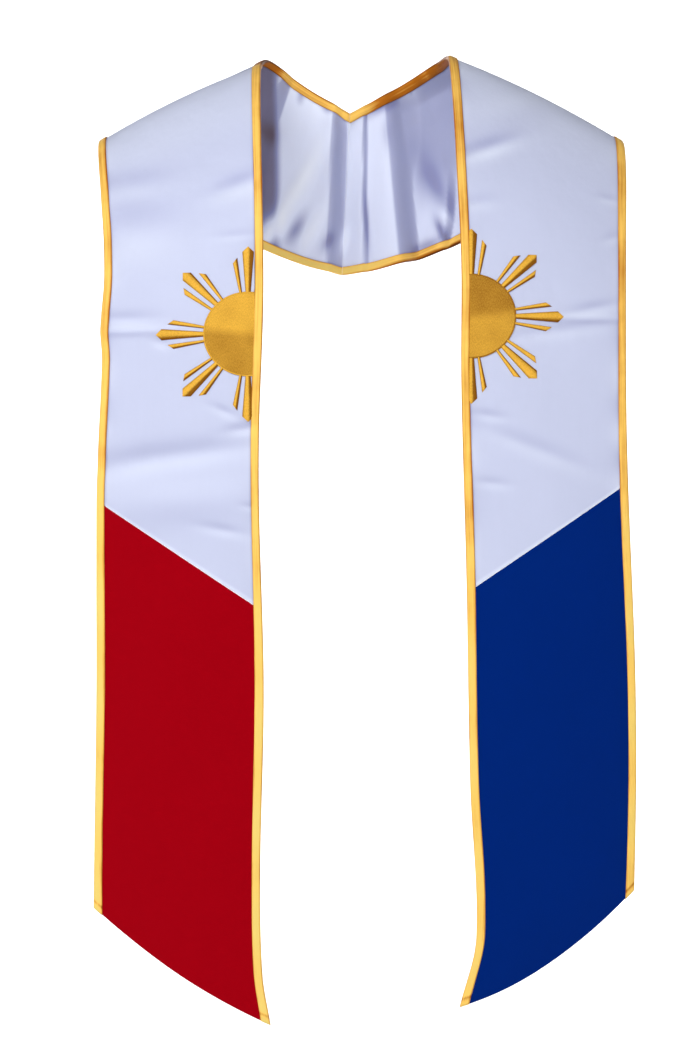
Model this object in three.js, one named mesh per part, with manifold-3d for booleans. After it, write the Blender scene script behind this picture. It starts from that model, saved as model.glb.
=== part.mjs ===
// A graduation stole in the form it takes when worn: two long strips of satin that meet in a seam at
// the centre back, run forward over the shoulders and hang down the chest. Each strip is white cloth
// sewn to a coloured cloth along a slanting seam. A folded gold binding closes both long edges, and
// half of an eight-rayed sun is embroidered against each front edge, so the two halves face each other.
//
// Millimetres, +Z up. The wearer faces -Y. The origin is midway between the two points where the
// neckline crosses the top of the shoulders. "right" and "left" are the wearer's.
import * as THREE from "three";
import Module from "manifold-3d";
import { mergeVertices } from "three/addons/utils/BufferGeometryUtils.js";

const DEGREE = Math.PI / 180;

// The form that the shoulders give it
const NECK_WIDTH = 159; // between the two inner edges, on top of the shoulders
const STRIP_WIDTH = 134; // a hanging strip, from edge to edge, bindings included
const SHOULDER_SLOPE = 27.5; // fall of the shoulder line, in degrees
const SHOULDER_BOW = 4.5; // rise of the shoulder line above a straight one, at its middle
const NECK_TILT = 3.8; // how much one neck point sits above the middle, and the other below it
const CHEST_DEPTH = 95; // from the shoulder line forward to the hanging front, at its inner edge
const CHEST_DROP = 200; // height over which the front rounds from the shoulder line to vertical
const CHEST_TURN = 0.18; // share of the chest depth by which the outer edge lies further back
const NECK_DEPTH = 65; // from the shoulder line back to the neckline's V
const BACK_DEPTH = 95; // from the shoulder line back to the hem at the centre back
const BACK_BULGE = 5; // how far the back swells between neckline and hem
const V_DROP = 30; // the neckline's V below the neck points
const YOKE_HEIGHT = 140; // centre back seam, from the V to the hem
const V_SHIFT = -4; // the V's place left or right of the middle
const HEM_SHIFT = -11; // the same for the seam's lower end
const NECKLINE_SQUARENESS = 3.3; // 2 makes the neckline an ellipse seen from above, more squares it
const HEM_SQUARENESS = 2.2; // the same for the back's lower edge

// Heights below the neck points
const SEAM_INNER_DROP = 460; // the slanting seam at the inner edge
const SEAM_OUTER_DROP = 370; // the slanting seam at the outer edge
const TIP_INNER_DROP = 795; // the hanging end at the inner edge
const TIP_OUTER_DROP = 704; // the hanging end at the outer edge
const TIP_CURL = 7; // how far the pointed tip curls forward
const CURL_FROM = 0.6; // share of the coloured cloth's length at which the curl begins
const SLIDE = 7.3; // the whole strip has slid this much towards the wearer's right

// Cloth, binding and gaps
const CLOTH_THICKNESS = 1.4;
const BINDING_WALL = 1.0;
const BINDING_WIDTH = 7;
const CLEARANCE = 0.3; // between pieces that are sewn to each other

// Embroidery
const SUN_DROP = 235; // the sun's centre below the neck points
const SUN_RADIUS = 34.2;
const SUN_STRETCH = 1.06; // the sun is this much wider than high
const SUN_RAISE = 1.1;
const SUN_CLUSTERS = 8;
const CLUSTER_SPREAD = 9.5; // degrees between a cluster's middle ray and its side rays
const MIDDLE_RAY = { reach: 2.07, rootHalf: 0.055, endHalf: 0.12 }; // shares of the sun's radius
const SIDE_RAY = { reach: 1.82, rootHalf: 0.03, endHalf: 0.06 };
const RAY_ROOT = 0.94; // where a ray starts, as a share of the sun's radius
const RAY_SLANT = 1.1; // length of a ray's slanting end, as a share of its width there
const ARC_POINTS = 24; // round a half of the disc

// Folds
const YOKE_FOLD_DEPTH = 30;
const YOKE_FOLD_START = 0.35; // share of the quarter turn over which folds begin behind the shoulder line
const YOKE_FOLD_TOP = 0.35; // share of their depth that folds keep at the neckline's binding
const YOKE_FOLD_EASE = 0.15; // share of the height over which they reach their whole depth
const YOKE_FOLD_GROWTH = { from: 0.25, to: 0.9 }; // shares of the height between top and hem heights
const FRONT_FOLD_DEPTH = 3.2;
const FRONT_FOLD_SLIDE = 0.5; // share of the strip's slide that its creases follow

// How far an edge swings outward at a share of its fall, as a share of the strip's width
const SWAY = {
  right: {
    inner: [
      { fall: 0, sway: 0 },
      { fall: 0.24, sway: -0.04 },
      { fall: 0.4, sway: -0.013 },
      { fall: 0.48, sway: -0.014 },
      { fall: 0.66, sway: -0.042 },
      { fall: 0.85, sway: -0.02 },
      { fall: 0.95, sway: -0.035 },
      { fall: 1, sway: -0.085 },
    ],
    outer: [
      { fall: 0, sway: 0.038 },
      { fall: 0.09, sway: -0.018 },
      { fall: 0.19, sway: -0.052 },
      { fall: 0.26, sway: -0.033 },
      { fall: 0.3, sway: -0.044 },
      { fall: 0.46, sway: -0.013 },
      { fall: 0.72, sway: -0.01 },
      { fall: 1, sway: 0.008 },
    ],
  },
  left: {
    inner: [
      { fall: 0, sway: 0 },
      { fall: 0.13, sway: 0.027 },
      { fall: 0.24, sway: 0.052 },
      { fall: 0.36, sway: 0.052 },
      { fall: 0.56, sway: 0.083 },
      { fall: 0.77, sway: 0.106 },
      { fall: 0.93, sway: 0.142 },
      { fall: 1, sway: 0.04 },
    ],
    outer: [
      { fall: 0, sway: 0.12 },
      { fall: 0.15, sway: 0.082 },
      { fall: 0.3, sway: 0.07 },
      { fall: 0.45, sway: 0.08 },
      { fall: 0.7, sway: 0.124 },
      { fall: 0.85, sway: 0.133 },
      { fall: 1, sway: 0.12 },
    ],
  },
};

// Folds of the back, as lines that fan out from the V. "top" and "hem" place a line round the back at the
// neckline and at the hem, from 0 at the centre seam to 1 or -1 at the left or right shoulder line.
// "topRise" and "hemRise" are its heights towards the wearer there, as shares of the yoke's fold depth.
// Heights run smoothly from each line to the next.
const YOKE_LINES = [
  { top: -1.01, topRise: 0, hem: -1.01, hemRise: 0 },
  { top: -0.8, topRise: 0.4, hem: -0.45, hemRise: 0.53 },
  { top: -0.44, topRise: 0.53, hem: -0.26, hemRise: 0.8 },
  { top: -0.33, topRise: 0.07, hem: -0.203, hemRise: 0 },
  { top: -0.219, topRise: 0.07, hem: -0.136, hemRise: 0.18 },
  { top: -0.108, topRise: 0.13, hem: -0.098, hemRise: -0.17 },
  { top: -0.043, topRise: 0.2, hem: -0.031, hemRise: 0.12 },
  { top: 0, topRise: -0.27, hem: 0, hemRise: -0.32 },
  { top: 0.111, topRise: 0.03, hem: 0.118, hemRise: 0.15 },
  { top: 0.21, topRise: -0.37, hem: 0.167, hemRise: -0.47 },
  { top: 0.396, topRise: -0.73, hem: 0.223, hemRise: -0.25 },
  { top: 0.505, topRise: -0.87, hem: 0.245, hemRise: -0.4 },
  { top: 0.616, topRise: -1, hem: 0.272, hemRise: -0.13 },
  { top: 0.7, topRise: -1.07, hem: 0.315, hemRise: -0.3 },
  { top: 0.94, topRise: -0.13, hem: 0.5, hemRise: 0 },
  { top: 1.01, topRise: 0, hem: 1.01, hemRise: 0 },
];

// Creases of the hanging fronts. "across" runs from the inner edge at 0 to the outer edge at 1, and
// "down" is the height below the neck points, both shares of the strip's width. "turn" is the crease's
// angle from level, in degrees, rising outward. "long" and "broad" are half sizes, shares of the strip's
// width, and "rise" is a share of the front's fold depth.
const FRONT_FOLDS = {
  right: [
    { across: 0.86, down: 0.86, turn: -8, long: 0.22, broad: 0.1, rise: -0.9 },
    { across: 0.2, down: 0.87, turn: -20, long: 0.25, broad: 0.09, rise: -0.8 },
    { across: 0.5, down: 0.62, turn: -25, long: 0.5, broad: 0.14, rise: 0.5 },
    { across: 0.86, down: 1.66, turn: 0, long: 0.32, broad: 0.055, rise: 0.9 },
    { across: 0.8, down: 1.77, turn: 4, long: 0.28, broad: 0.06, rise: -0.9 },
    { across: 0.45, down: 2.38, turn: -8, long: 0.55, broad: 0.09, rise: -1.0 },
    { across: 0.5, down: 2.6, turn: -4, long: 0.5, broad: 0.12, rise: 0.6 },
    { across: 0.24, down: 2.92, turn: -12, long: 0.2, broad: 0.06, rise: -0.6 },
    { across: 0.6, down: 3.5, turn: 12, long: 0.6, broad: 0.25, rise: 0.35 },
    { across: 0.4, down: 4.6, turn: -10, long: 0.6, broad: 0.3, rise: -0.35 },
  ],
  left: [
    { across: 0.2, down: 0.62, turn: 28, long: 0.28, broad: 0.09, rise: -1.0 },
    { across: 0.35, down: 0.42, turn: 28, long: 0.3, broad: 0.1, rise: 0.5 },
    { across: 0.12, down: 1.05, turn: 6, long: 0.14, broad: 0.08, rise: -0.5 },
    { across: 0.85, down: 1.54, turn: 4, long: 0.24, broad: 0.055, rise: -0.9 },
    { across: 0.8, down: 1.62, turn: 0, long: 0.35, broad: 0.045, rise: 0.8 },
    { across: 0.66, down: 1.7, turn: 8, long: 0.34, broad: 0.06, rise: -0.5 },
    { across: 0.28, down: 2.34, turn: -8, long: 0.3, broad: 0.07, rise: -0.9 },
    { across: 0.6, down: 2.56, turn: -14, long: 0.4, broad: 0.12, rise: -0.4 },
    { across: 0.4, down: 3.6, turn: -10, long: 0.6, broad: 0.25, rise: 0.35 },
    { across: 0.6, down: 4.7, turn: 12, long: 0.6, broad: 0.3, rise: -0.35 },
  ],
};

// How finely the cloth is cut into faces
const BACK_ROWS = 26;
const BACK_ROW_EASE = 1.3; // above 1, rows crowd towards the centre back seam
const WHITE_ROWS = 22;
const COLOUR_ROWS = 9;
const CLOTH_COLUMNS = 6; // between the two bindings
const WHITE_ROW_EASE = 0.75; // under 1, rows crowd less towards the shoulder line

// What differs between the two halves. "hang" and "rise" lower the front and raise the neck point.
// "neckSag" and "hemRounding" bend the two edges of the back: above 1, they run flat near the centre
// seam. "neckHump" lifts the neckline just behind the shoulder line, over the slope of the wearer's neck.
// "sunInset" is how far the sun's centre lies outside the inner binding, and "tipBow" is how far the
// hanging end's edge bows down from a straight line.
const SIDES = {
  right: {
    name: "right",
    sign: -1,
    hang: SLIDE,
    rise: -NECK_TILT,
    neckSag: 1.65,
    neckHump: 27,
    hemRounding: 1.45,
    sunInset: 4.8,
    tipBow: 8,
  },
  left: {
    name: "left",
    sign: 1,
    hang: -SLIDE,
    rise: NECK_TILT,
    neckSag: 1.3,
    neckHump: 18,
    hemRounding: 1.6,
    sunInset: 1.2,
    tipBow: 13,
  },
};

// Materials, one for each kind of cloth and thread
const satin = (color, roughness) => new THREE.MeshStandardMaterial({ color, roughness, metalness: 0 });
const MATERIALS = {
  white: satin(0xd2d8f2, 0.4),
  red: satin(0xa60012, 0.5),
  blue: satin(0x022677, 0.5),
  gold: satin(0xe9ab3c, 0.42),
  thread: satin(0xd79f38, 0.55),
};

const mix = (a, b, share) => a + (b - a) * share;

function smoothStep(low, high, x) {
  const share = Math.min(Math.max((x - low) / (high - low), 0), 1);
  return share * share * (3 - 2 * share);
}

// A smooth line through the rows of a sway table, at one share of the fall.
function swayAt(table, fall) {
  const last = table.length - 1;
  let i = 0;
  while (i < last - 1 && fall > table[i + 1].fall) i += 1;
  const slope = (a, b) => (table[b].sway - table[a].sway) / (table[b].fall - table[a].fall);
  const span = table[i + 1].fall - table[i].fall;
  const slopeIn = slope(Math.max(i - 1, 0), i + 1);
  const slopeOut = slope(i, Math.min(i + 2, last));
  const u = Math.min(Math.max((fall - table[i].fall) / span, 0), 1);
  const bend = u * (1 - u) * span;
  const straight = mix(table[i].sway, table[i + 1].sway, u * u * (3 - 2 * u));
  return straight + bend * ((1 - u) * slopeIn - u * slopeOut);
}

// The shoulder line's end points, with x measured outward from the middle.
function shoulderEnds(side) {
  const inner = NECK_WIDTH / 2;
  const outer = inner + STRIP_WIDTH * (1 + SWAY[side.name].outer[0].sway);
  const slope = Math.tan(SHOULDER_SLOPE * DEGREE);
  return {
    inner: { x: inner, z: side.rise },
    outer: { x: outer, z: -STRIP_WIDTH * slope },
  };
}

function shoulderBow(w) {
  return SHOULDER_BOW * 4 * w * (1 - w);
}

// How far the folds of the back rise towards the wearer, at a place round it and a share of its height.
function yokeHeight(round, w) {
  const grown = smoothStep(YOKE_FOLD_GROWTH.from, YOKE_FOLD_GROWTH.to, w);
  const places = YOKE_LINES.map((line) => mix(line.top, line.hem, w));
  const rises = YOKE_LINES.map((line) => mix(line.topRise, line.hemRise, grown));
  const last = places.length - 1;
  const slope = (k) => (k < 0 || k >= last ? 0 : (rises[k + 1] - rises[k]) / (places[k + 1] - places[k]));
  const bend = (before, after) => (before * after > 0 ? (2 * before * after) / (before + after) : 0);
  let i = 0;
  while (i < last - 1 && round > places[i + 1]) i += 1;
  const span = places[i + 1] - places[i];
  const t = (round - places[i]) / span;
  const s = 1 - t;
  const curve = bend(slope(i - 1), slope(i)) * s - bend(slope(i), slope(i + 1)) * t;
  const rise = rises[i] * s * s * (1 + 2 * t) + rises[i + 1] * t * t * (1 + 2 * s) + span * t * s * curve;
  return YOKE_FOLD_DEPTH * rise * mix(YOKE_FOLD_TOP, 1, smoothStep(0, YOKE_FOLD_EASE, w));
}

// Forward swell of a hanging front at a share of its width and a height.
function frontRelief(side, w, z) {
  let sum = 0;
  for (const fold of FRONT_FOLDS[side.name]) {
    const turn = fold.turn * DEGREE;
    const dx = w - fold.across;
    const dz = (z + side.hang * FRONT_FOLD_SLIDE) / STRIP_WIDTH + fold.down;
    const along = (dx * Math.cos(turn) + dz * Math.sin(turn)) / fold.long;
    const off = (dz * Math.cos(turn) - dx * Math.sin(turn)) / fold.broad;
    sum += fold.rise * Math.exp(-along * along - off * off);
  }
  return sum * FRONT_FOLD_DEPTH;
}

// A point of the back. turn runs from 0 at the shoulder line to 90 degrees at the centre back seam.
function backPoint(side, turn, w) {
  const ends = shoulderEnds(side);
  const shareOf = (squareness) => {
    const power = 2 / squareness;
    return { x: Math.cos(turn) ** power, y: Math.sin(turn) ** power };
  };
  const neck = shareOf(NECKLINE_SQUARENESS);
  const inward = 1 - neck.x;
  const hump = side.neckHump * neck.y * neck.x ** 3;
  const hem = shareOf(HEM_SQUARENESS);
  const seam = (side.sign * CLEARANCE) / 2;
  const inner = {
    x: mix(V_SHIFT + seam, side.sign * ends.inner.x, neck.x),
    y: NECK_DEPTH * neck.y,
    z: mix(ends.inner.z, -V_DROP, inward ** side.neckSag) + hump,
  };
  const outer = {
    x: mix(HEM_SHIFT + seam, side.sign * ends.outer.x, hem.x),
    y: BACK_DEPTH * hem.y,
    z: mix(-V_DROP - YOKE_HEIGHT, ends.outer.z, hem.x ** side.hemRounding),
  };
  const behind = turn / (90 * DEGREE);
  const level = Math.sin(turn) ** 2;
  const folds = yokeHeight(side.sign * (1 - behind), w) * smoothStep(0, YOKE_FOLD_START, behind);
  const swell = BACK_BULGE * Math.sin(Math.PI * w) * level - folds;
  return new THREE.Vector3(
    mix(inner.x, outer.x, w),
    mix(inner.y, outer.y, w) + swell,
    mix(inner.z, outer.z, w) + shoulderBow(w) * (1 - level),
  );
}

// A point of the front. reach runs from 0 at the shoulder line to 1 at the slanting seam and 2 at the
// hanging end.
function frontPoint(side, reach, w) {
  const ends = shoulderEnds(side);
  const white = Math.min(reach, 1) ** 2;
  const colour = Math.max(reach - 1, 0);
  const seam = {
    inner: ends.inner.z + SEAM_INNER_DROP + side.hang,
    outer: ends.outer.z + SEAM_OUTER_DROP + side.hang,
  };
  const tip = {
    inner: ends.inner.z + TIP_INNER_DROP + side.hang,
    outer: ends.outer.z + TIP_OUTER_DROP + side.hang,
  };
  const innerFall = mix(seam.inner * white, tip.inner, colour);
  const outerFall = mix(seam.outer * white, tip.outer, colour);
  const fall = mix(innerFall, outerFall, w);
  const rounding = Math.max(1 - fall / CHEST_DROP, 0);
  const sway = SWAY[side.name];
  const innerX = NECK_WIDTH / 2 + STRIP_WIDTH * swayAt(sway.inner, innerFall / tip.inner);
  const outerX = NECK_WIDTH / 2 + STRIP_WIDTH * (1 + swayAt(sway.outer, outerFall / tip.outer));
  const tipBow = side.tipBow * 4 * w * (1 - w) * colour;
  const z = mix(ends.inner.z, ends.outer.z, w) + shoulderBow(w) * rounding ** 2 - fall - tipBow;
  const depth = CHEST_DEPTH * (1 - CHEST_TURN * w * w);
  const curl = TIP_CURL * (Math.max(colour - CURL_FROM, 0) / (1 - CURL_FROM)) ** 2 * (1 - w) ** 2;
  const swell = frontRelief(side, w, z) * (1 - rounding) + curl;
  return new THREE.Vector3(
    side.sign * mix(innerX, outerX, w),
    -depth * Math.sqrt(1 - rounding ** 2) - swell,
    z,
  );
}

// A place along the strip runs from -1 at the centre back seam, over the shoulder line at 0, to the
// slanting seam at 1 and the hanging end at 2. w runs from the inner edge at 0 to the outer edge at 1.
function surface(side, place, w) {
  return place < 0 ? backPoint(side, -place * 90 * DEGREE, w) : frontPoint(side, place, w);
}

// The direction that faces away from the wearer.
function outward(side, place, w) {
  const step = 1e-3;
  const from = Math.max(place - step, -1);
  const to = Math.min(place + step, 2);
  const along = surface(side, to, w).sub(surface(side, from, w));
  const low = Math.max(w - step, 0);
  const high = Math.min(w + step, 1);
  const across = surface(side, place, high).sub(surface(side, place, low));
  const normal = along.cross(across).multiplyScalar(side.sign);
  if (place <= -1) normal.x = 0; // the two halves meet face to face in their seam
  return normal.normalize();
}

// A solid whose section is drawn in (w, height above the middle of the cloth) and swept along the strip.
// "ring" is the section's outline, and "caps" splits it into four-sided pieces that close the two ends.
function sweep(side, places, { ring, caps }) {
  const corners = [];
  for (const place of places) {
    for (const point of ring) {
      const spot = surface(side, place, point.w);
      corners.push(spot.addScaledVector(outward(side, place, point.w), point.height));
    }
  }
  const count = ring.length;
  const faces = [];
  for (let row = 0; row + 1 < places.length; row += 1) {
    for (let i = 0; i < count; i += 1) {
      const next = (i + 1) % count;
      const a = row * count + i;
      const b = row * count + next;
      const widening = ring[next].w >= ring[i].w; // layers are cut along the same diagonals
      if (widening) faces.push([a, b, b + count], [a, b + count, a + count]);
      else faces.push([a, b, a + count], [b, b + count, a + count]);
    }
  }
  const end = (places.length - 1) * count;
  for (const [a, b, c, d] of caps) {
    faces.push([c, b, a], [d, c, a]);
    faces.push([end + a, end + b, end + c], [end + a, end + c, end + d]);
  }
  return solidFaces(corners, faces);
}

// A geometry from corners and faces, turned so that its faces point outward.
function solidFaces(corners, faces) {
  let volume = 0;
  for (const [a, b, c] of faces) {
    volume += corners[a].dot(corners[b].clone().cross(corners[c]));
  }
  const index = faces.flatMap(([a, b, c]) => (volume > 0 ? [a, b, c] : [a, c, b]));
  const geometry = new THREE.BufferGeometry();
  geometry.setAttribute("position", new THREE.Float32BufferAttribute(corners.flatMap((p) => p.toArray()), 3));
  geometry.setIndex(index);
  return geometry;
}

const steps = (count, from, to) => Array.from({ length: count + 1 }, (_, i) => mix(from, to, i / count));

// Rows along the strip, shared by cloth and binding so that they lie flat on each other.
const BACK_PLACES = steps(BACK_ROWS, -1, 0).map((place) => -(1 - (1 + place) ** BACK_ROW_EASE));
const WHITE_PLACES = steps(WHITE_ROWS, 0, 1).map((share) => share ** WHITE_ROW_EASE);
const COLOUR_PLACES = steps(COLOUR_ROWS, 1, 2);
const SEAM_STEP = CLEARANCE / (TIP_INNER_DROP - SEAM_INNER_DROP); // of a place, beyond the slanting seam
const SEAM_STEP_WHITE = CLEARANCE / SEAM_INNER_DROP / 2;

// A flat band of the cloth between two shares of the width and two heights.
function bandSection(from, to, columns, low, high) {
  const across = [from, ...columns, to];
  const bottom = across.map((w) => ({ w, height: low }));
  const top = across.map((w) => ({ w, height: high })).reverse();
  const last = 2 * across.length - 1;
  const caps = steps(across.length - 2, 0, across.length - 2).map((i) => [i, i + 1, last - i - 1, last - i]);
  return { ring: [...bottom, ...top], caps };
}

const CLOTH_EDGE = (BINDING_WALL + CLEARANCE) / STRIP_WIDTH;
const BINDING_SHARE = BINDING_WIDTH / STRIP_WIDTH;
const COLUMN_SHARES = steps(CLOTH_COLUMNS, BINDING_SHARE, 1 - BINDING_SHARE);

function clothSection() {
  const half = CLOTH_THICKNESS / 2;
  return bandSection(CLOTH_EDGE, 1 - CLOTH_EDGE, COLUMN_SHARES, -half, half);
}

function whiteCloth(side) {
  const front = WHITE_PLACES.slice(1, -1);
  return sweep(side, [...BACK_PLACES, ...front, 1 - SEAM_STEP_WHITE], clothSection());
}

function colouredCloth(side) {
  return sweep(side, [1 + SEAM_STEP, ...COLOUR_PLACES.slice(1)], clothSection());
}

// The binding is a tape folded round the edge of the cloth, a U in section.
function binding(side, edge) {
  const share = (mm) => (edge === "inner" ? mm / STRIP_WIDTH : 1 - mm / STRIP_WIDTH);
  const inside = CLOTH_THICKNESS / 2 + CLEARANCE;
  const outside = inside + BINDING_WALL;
  const half = [
    { w: share(0), height: outside },
    { w: share(BINDING_WIDTH), height: outside },
    { w: share(BINDING_WIDTH), height: inside },
    { w: share(BINDING_WALL), height: inside },
  ];
  const mirrored = half.map(({ w, height }) => ({ w, height: -height })).reverse();
  const caps = [
    [0, 1, 2, 3],
    [0, 3, 4, 7],
    [4, 5, 6, 7],
  ];
  const places = [...BACK_PLACES, ...WHITE_PLACES.slice(1), ...COLOUR_PLACES.slice(1)];
  return sweep(side, places, { ring: [...half, ...mirrored], caps });
}

// One ray, drawn pointing along +x from the sun's centre and turned. A ray that leans to one side, 1 or
// -1, ends in a slanting cut that faces away from it, and the others end in a point.
function rayShape({ reach, rootHalf, endHalf }, lean, turn) {
  const end = (side) => reach - endHalf * RAY_SLANT * (1 + lean * side);
  const tip = lean ? [] : [[reach, 0]];
  const root = [[RAY_ROOT, -rootHalf], [RAY_ROOT, rootHalf]];
  const outline = [...root, [end(1), endHalf], ...tip, [end(-1), -endHalf]];
  const centre = new THREE.Vector2();
  const corner = ([x, y]) => new THREE.Vector2(x, y).multiplyScalar(SUN_RADIUS).rotateAround(centre, turn);
  return new THREE.Shape(outline.map(corner));
}

// Outlines of the disc and of every ray, around the sun's centre.
function sunShapes() {
  const disc = new THREE.Shape();
  disc.absarc(0, 0, SUN_RADIUS, 0, 2 * Math.PI);
  const shapes = [disc];
  for (let k = 0; k < SUN_CLUSTERS; k += 1) {
    const turn = (2 * Math.PI * k) / SUN_CLUSTERS;
    const spread = CLUSTER_SPREAD * DEGREE;
    shapes.push(rayShape(MIDDLE_RAY, 0, turn));
    shapes.push(rayShape(SIDE_RAY, 1, turn + spread));
    shapes.push(rayShape(SIDE_RAY, -1, turn - spread));
  }
  return shapes;
}

const wasm = await Module();
wasm.setup();

function manifoldOf(geometry) {
  const bare = geometry.clone();
  bare.deleteAttribute("normal");
  bare.deleteAttribute("uv");
  const merged = mergeVertices(bare);
  return new wasm.Manifold(
    new wasm.Mesh({
      numProp: 3,
      vertProperties: merged.attributes.position.array,
      triVerts: new Uint32Array(merged.index.array),
    }),
  );
}

function geometryOf(manifold) {
  const mesh = manifold.getMesh();
  const geometry = new THREE.BufferGeometry();
  geometry.setAttribute("position", new THREE.Float32BufferAttribute(mesh.vertProperties, 3));
  geometry.setIndex(Array.from(mesh.triVerts));
  return geometry;
}

// Half of the embroidered sun: its outline cut from a layer that lies on the white cloth and ends at
// the inner binding.
function halfSun(side) {
  const low = CLOTH_THICKNESS / 2 + CLEARANCE;
  const from = BINDING_SHARE + CLEARANCE / STRIP_WIDTH;
  const columns = COLUMN_SHARES.slice(1, -1);
  const section = bandSection(from, 1 - BINDING_SHARE, columns, low, low + SUN_RAISE);
  const layer = manifoldOf(sweep(side, WHITE_PLACES.slice(1), section));
  const height = -SUN_DROP - side.hang;
  const fall = (SUN_DROP + side.hang + side.rise) / (TIP_INNER_DROP + side.hang + side.rise);
  const edge = NECK_WIDTH / 2 + STRIP_WIDTH * swayAt(SWAY[side.name].inner, fall);
  const middle = side.sign * (edge + BINDING_WIDTH + side.sunInset);
  let outline = null;
  for (const shape of sunShapes()) {
    const prism = new THREE.ExtrudeGeometry(shape, {
      depth: 2 * CHEST_DEPTH,
      bevelEnabled: false,
      curveSegments: ARC_POINTS,
    });
    prism.scale(SUN_STRETCH, 1, 1);
    prism.rotateX(90 * DEGREE);
    prism.translate(middle, 0, height);
    const solid = manifoldOf(prism);
    outline = outline ? outline.add(solid) : solid;
  }
  return geometryOf(outline.intersect(layer));
}

const stole = new THREE.Group();
stole.name = "graduation_stole";

function place(name, geometry, material) {
  const mesh = new THREE.Mesh(geometry, material);
  mesh.name = name;
  stole.add(mesh);
}

for (const side of Object.values(SIDES)) {
  const dyed = side.name === "right" ? "red" : "blue";
  place(`white_cloth_${side.name}`, whiteCloth(side), MATERIALS.white);
  place(`${dyed}_cloth_${side.name}`, colouredCloth(side), MATERIALS[dyed]);
  place(`inner_binding_${side.name}`, binding(side, "inner"), MATERIALS.gold);
  place(`outer_binding_${side.name}`, binding(side, "outer"), MATERIALS.gold);
  place(`half_sun_${side.name}`, halfSun(side), MATERIALS.thread);
}

export default stole;
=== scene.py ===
"""A worn graduation stole in white, red and blue satin, with a folded gold binding and half suns
embroidered in gold thread. Metres, +Z up; the wearer faces -Y, and "right" and "left" are the wearer's.
"""

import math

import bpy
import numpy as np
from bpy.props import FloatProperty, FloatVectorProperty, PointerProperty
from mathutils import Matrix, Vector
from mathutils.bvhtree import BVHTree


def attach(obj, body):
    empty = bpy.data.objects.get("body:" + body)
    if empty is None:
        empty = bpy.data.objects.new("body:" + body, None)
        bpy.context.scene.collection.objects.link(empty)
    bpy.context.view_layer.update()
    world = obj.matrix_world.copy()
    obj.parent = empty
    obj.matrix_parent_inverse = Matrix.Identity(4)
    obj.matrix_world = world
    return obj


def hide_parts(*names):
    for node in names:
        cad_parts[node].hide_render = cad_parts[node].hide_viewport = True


bl_info = {
    "name": "Graduation Stole",
    "version": (1, 0, 0),
    "blender": (4, 5, 0),
    "location": "3D View > Sidebar > Stole",
    "description": "Builds a worn graduation stole with satin cloth, folded binding and embroidery",
    "category": "Mesh",
}

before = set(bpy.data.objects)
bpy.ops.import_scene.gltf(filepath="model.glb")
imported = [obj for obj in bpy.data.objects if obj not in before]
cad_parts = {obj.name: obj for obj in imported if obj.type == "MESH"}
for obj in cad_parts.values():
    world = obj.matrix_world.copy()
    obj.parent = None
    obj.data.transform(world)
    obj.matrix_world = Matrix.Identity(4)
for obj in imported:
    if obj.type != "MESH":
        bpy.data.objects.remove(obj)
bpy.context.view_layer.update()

MM = 0.001
QUARTER = math.pi / 2
FULL_TURN = 2 * math.pi

# The form that the shoulders give the cloth, in metres
SHOULDER_SLOPE = math.radians(27.5)
SHOULDER_BOW = 4.5 * MM
NECK_TILT = 3.8 * MM
CHEST_DEPTH = 95 * MM
CHEST_DROP = 200 * MM
CHEST_TURN = 0.18
NECK_DEPTH = 65 * MM
BACK_DEPTH = 95 * MM
BACK_BULGE = 5 * MM
BACK_RUN = 160 * MM  # from the centre seam to a shoulder line
V_DROP = 30 * MM
YOKE_HEIGHT = 140 * MM
NECKLINE_SQUARENESS = 3.3
V_SHIFT = -4 * MM
HEM_SHIFT = -11 * MM
HEM_SQUARENESS = 2.2
DROPS = {"inner": (460 * MM, 795 * MM), "outer": (370 * MM, 704 * MM)}  # to the seam and to the tip
TIP_CURL = 7 * MM
CURL_FROM = 0.6
SLIDE = 7.3 * MM
SUN_DROP = 235 * MM
CENTRE_GAP = 0.1 * MM  # between the two halves, in their seam
SEAM_GAP = 0.1 * MM  # between white and coloured cloth

FRONT_FOLD_DEPTH = 3.2 * MM
PUCKER_DEPTH = 0.22 * MM
SLACK_DEPTH = 0.5 * MM
BINDING_SLACK = 0.3 * MM  # between the cloth's edge and the inside of the binding's fold
BINDING_CLEARANCE = 0.1 * MM
CLOTH_EDGE_ROUND = 0.9 * MM
TAPE_GRID = 2.2 * MM

# What differs between the two halves. Painted shades run from 0, lit, to 1, and on to 2 where it is darkest.
SIDES = {
    "right": dict(sign=-1, hang=SLIDE, rise=-NECK_TILT, neck_sag=1.65, neck_hump=27 * MM,
                  hem_rounding=1.45, sun_inset=4.8 * MM, tip_bow=8 * MM, neckline_shade=0.2,
                  disc_shades=(0.62, 0.22), border_shade=0.0, tape_shade=0.08),
    "left": dict(sign=1, hang=-SLIDE, rise=NECK_TILT, neck_sag=1.3, neck_hump=18 * MM,
                 hem_rounding=1.6, sun_inset=1.2 * MM, tip_bow=13 * MM, neckline_shade=1.15,
                 disc_shades=(0.42, 0.75), border_shade=0.7, tape_shade=0.22),
}

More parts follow.
